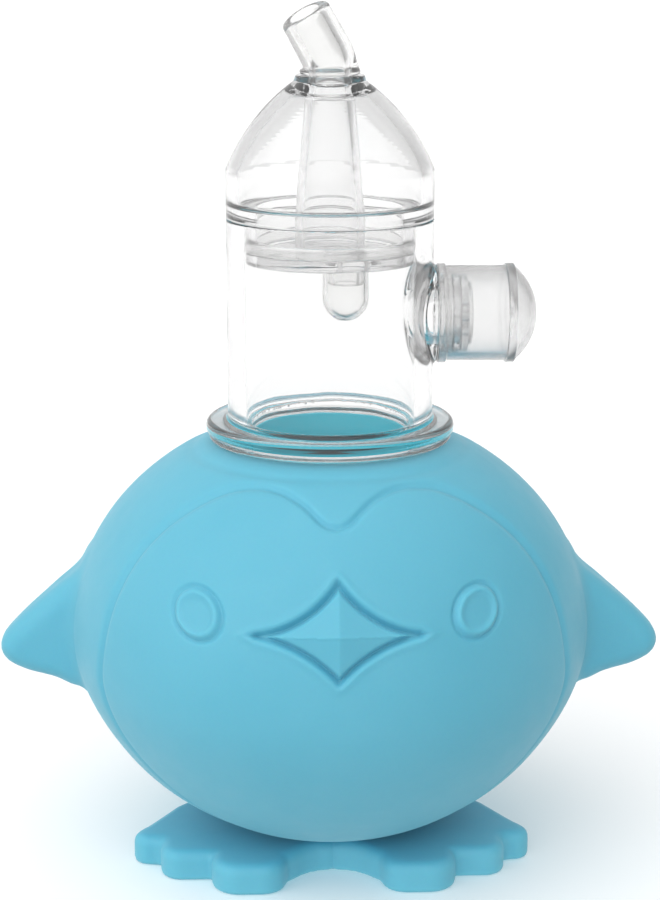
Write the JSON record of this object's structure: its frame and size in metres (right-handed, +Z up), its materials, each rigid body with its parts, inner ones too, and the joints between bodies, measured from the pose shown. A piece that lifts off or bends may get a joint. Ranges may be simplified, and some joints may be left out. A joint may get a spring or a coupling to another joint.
{
  "type": "nasal aspirator",
  "caption": "Baby nasal aspirator: penguin-shaped squeeze bulb on feet, clear air chamber with a valved side port, and a clear dome with a soft bent tip.",
  "frame": {"origin": "on the surface it stands on, under the bulb's and the chamber's common axis", "axes": "+Z up along the bulb, chamber and dome axis; the face looks along -Y; the side port points along +X; the tip bends towards -X"},
  "size_m": [0.0872, 0.0679, 0.1112],
  "materials": {
    "blue_silicone": "soft matte moulded silicone, pastel blue",
    "clear_plastic": "clear, polished rigid plastic",
    "clear_silicone": "clear soft silicone, slightly hazy"
  },
  "bodies": {
    "bulb": {"squeeze_bulb": "blue_silicone", "foot_base": "blue_silicone"},
    "collar": {"neck_seal": "blue_silicone", "neck_gasket": "clear_silicone"},
    "chamber": {"chamber_body": "clear_plastic", "valve_seat": "clear_plastic", "port_seal": "clear_silicone"},
    "outlet_disc": {"exhaust_disc": "clear_silicone"},
    "cap": {"port_cap": "clear_plastic"},
    "dome_ring": {"dome_seal": "clear_silicone"},
    "dome": {"nozzle_dome": "clear_plastic", "valve_plate": "clear_plastic"},
    "nipple": {"backflow_valve": "clear_silicone"},
    "tip": {"nozzle_tip": "clear_silicone"}
  },
  "joints": [
    {"name": "neck_pull", "type": "slide", "parent": "bulb", "child": "collar", "axis": [0, 0, 1], "range_m": [0, 0.02]},
    {"name": "chamber_turn", "type": "hinge", "parent": "collar", "child": "chamber", "pos_m": [0, 0, 0.057], "axis": [0, 0, 1], "continuous": true},
    {"name": "cap_pull", "type": "slide", "parent": "chamber", "child": "cap", "axis": [1, 0, 0], "range_m": [0, 0.012]},
    {"name": "outlet_lift", "type": "slide", "parent": "chamber", "child": "outlet_disc", "axis": [1, 0, 0], "range_m": [0, 0.0008], "stiffness_N_per_m": 100, "springref_m": -0.0005},
    {"name": "dome_pull", "type": "slide", "parent": "chamber", "child": "dome_ring", "axis": [0, 0, 1], "range_m": [0, 0.016]},
    {"name": "dome_turn", "type": "hinge", "parent": "dome_ring", "child": "dome", "pos_m": [0, 0, 0.081], "axis": [0, 0, 1], "continuous": true},
    {"name": "nipple_pull", "type": "slide", "parent": "dome", "child": "nipple", "axis": [0, 0, -1], "range_m": [0, 0.008]},
    {"name": "tip_pull", "type": "slide", "parent": "dome", "child": "tip", "axis": [0, 0, 1], "range_m": [0, 0.01]}
  ]
}
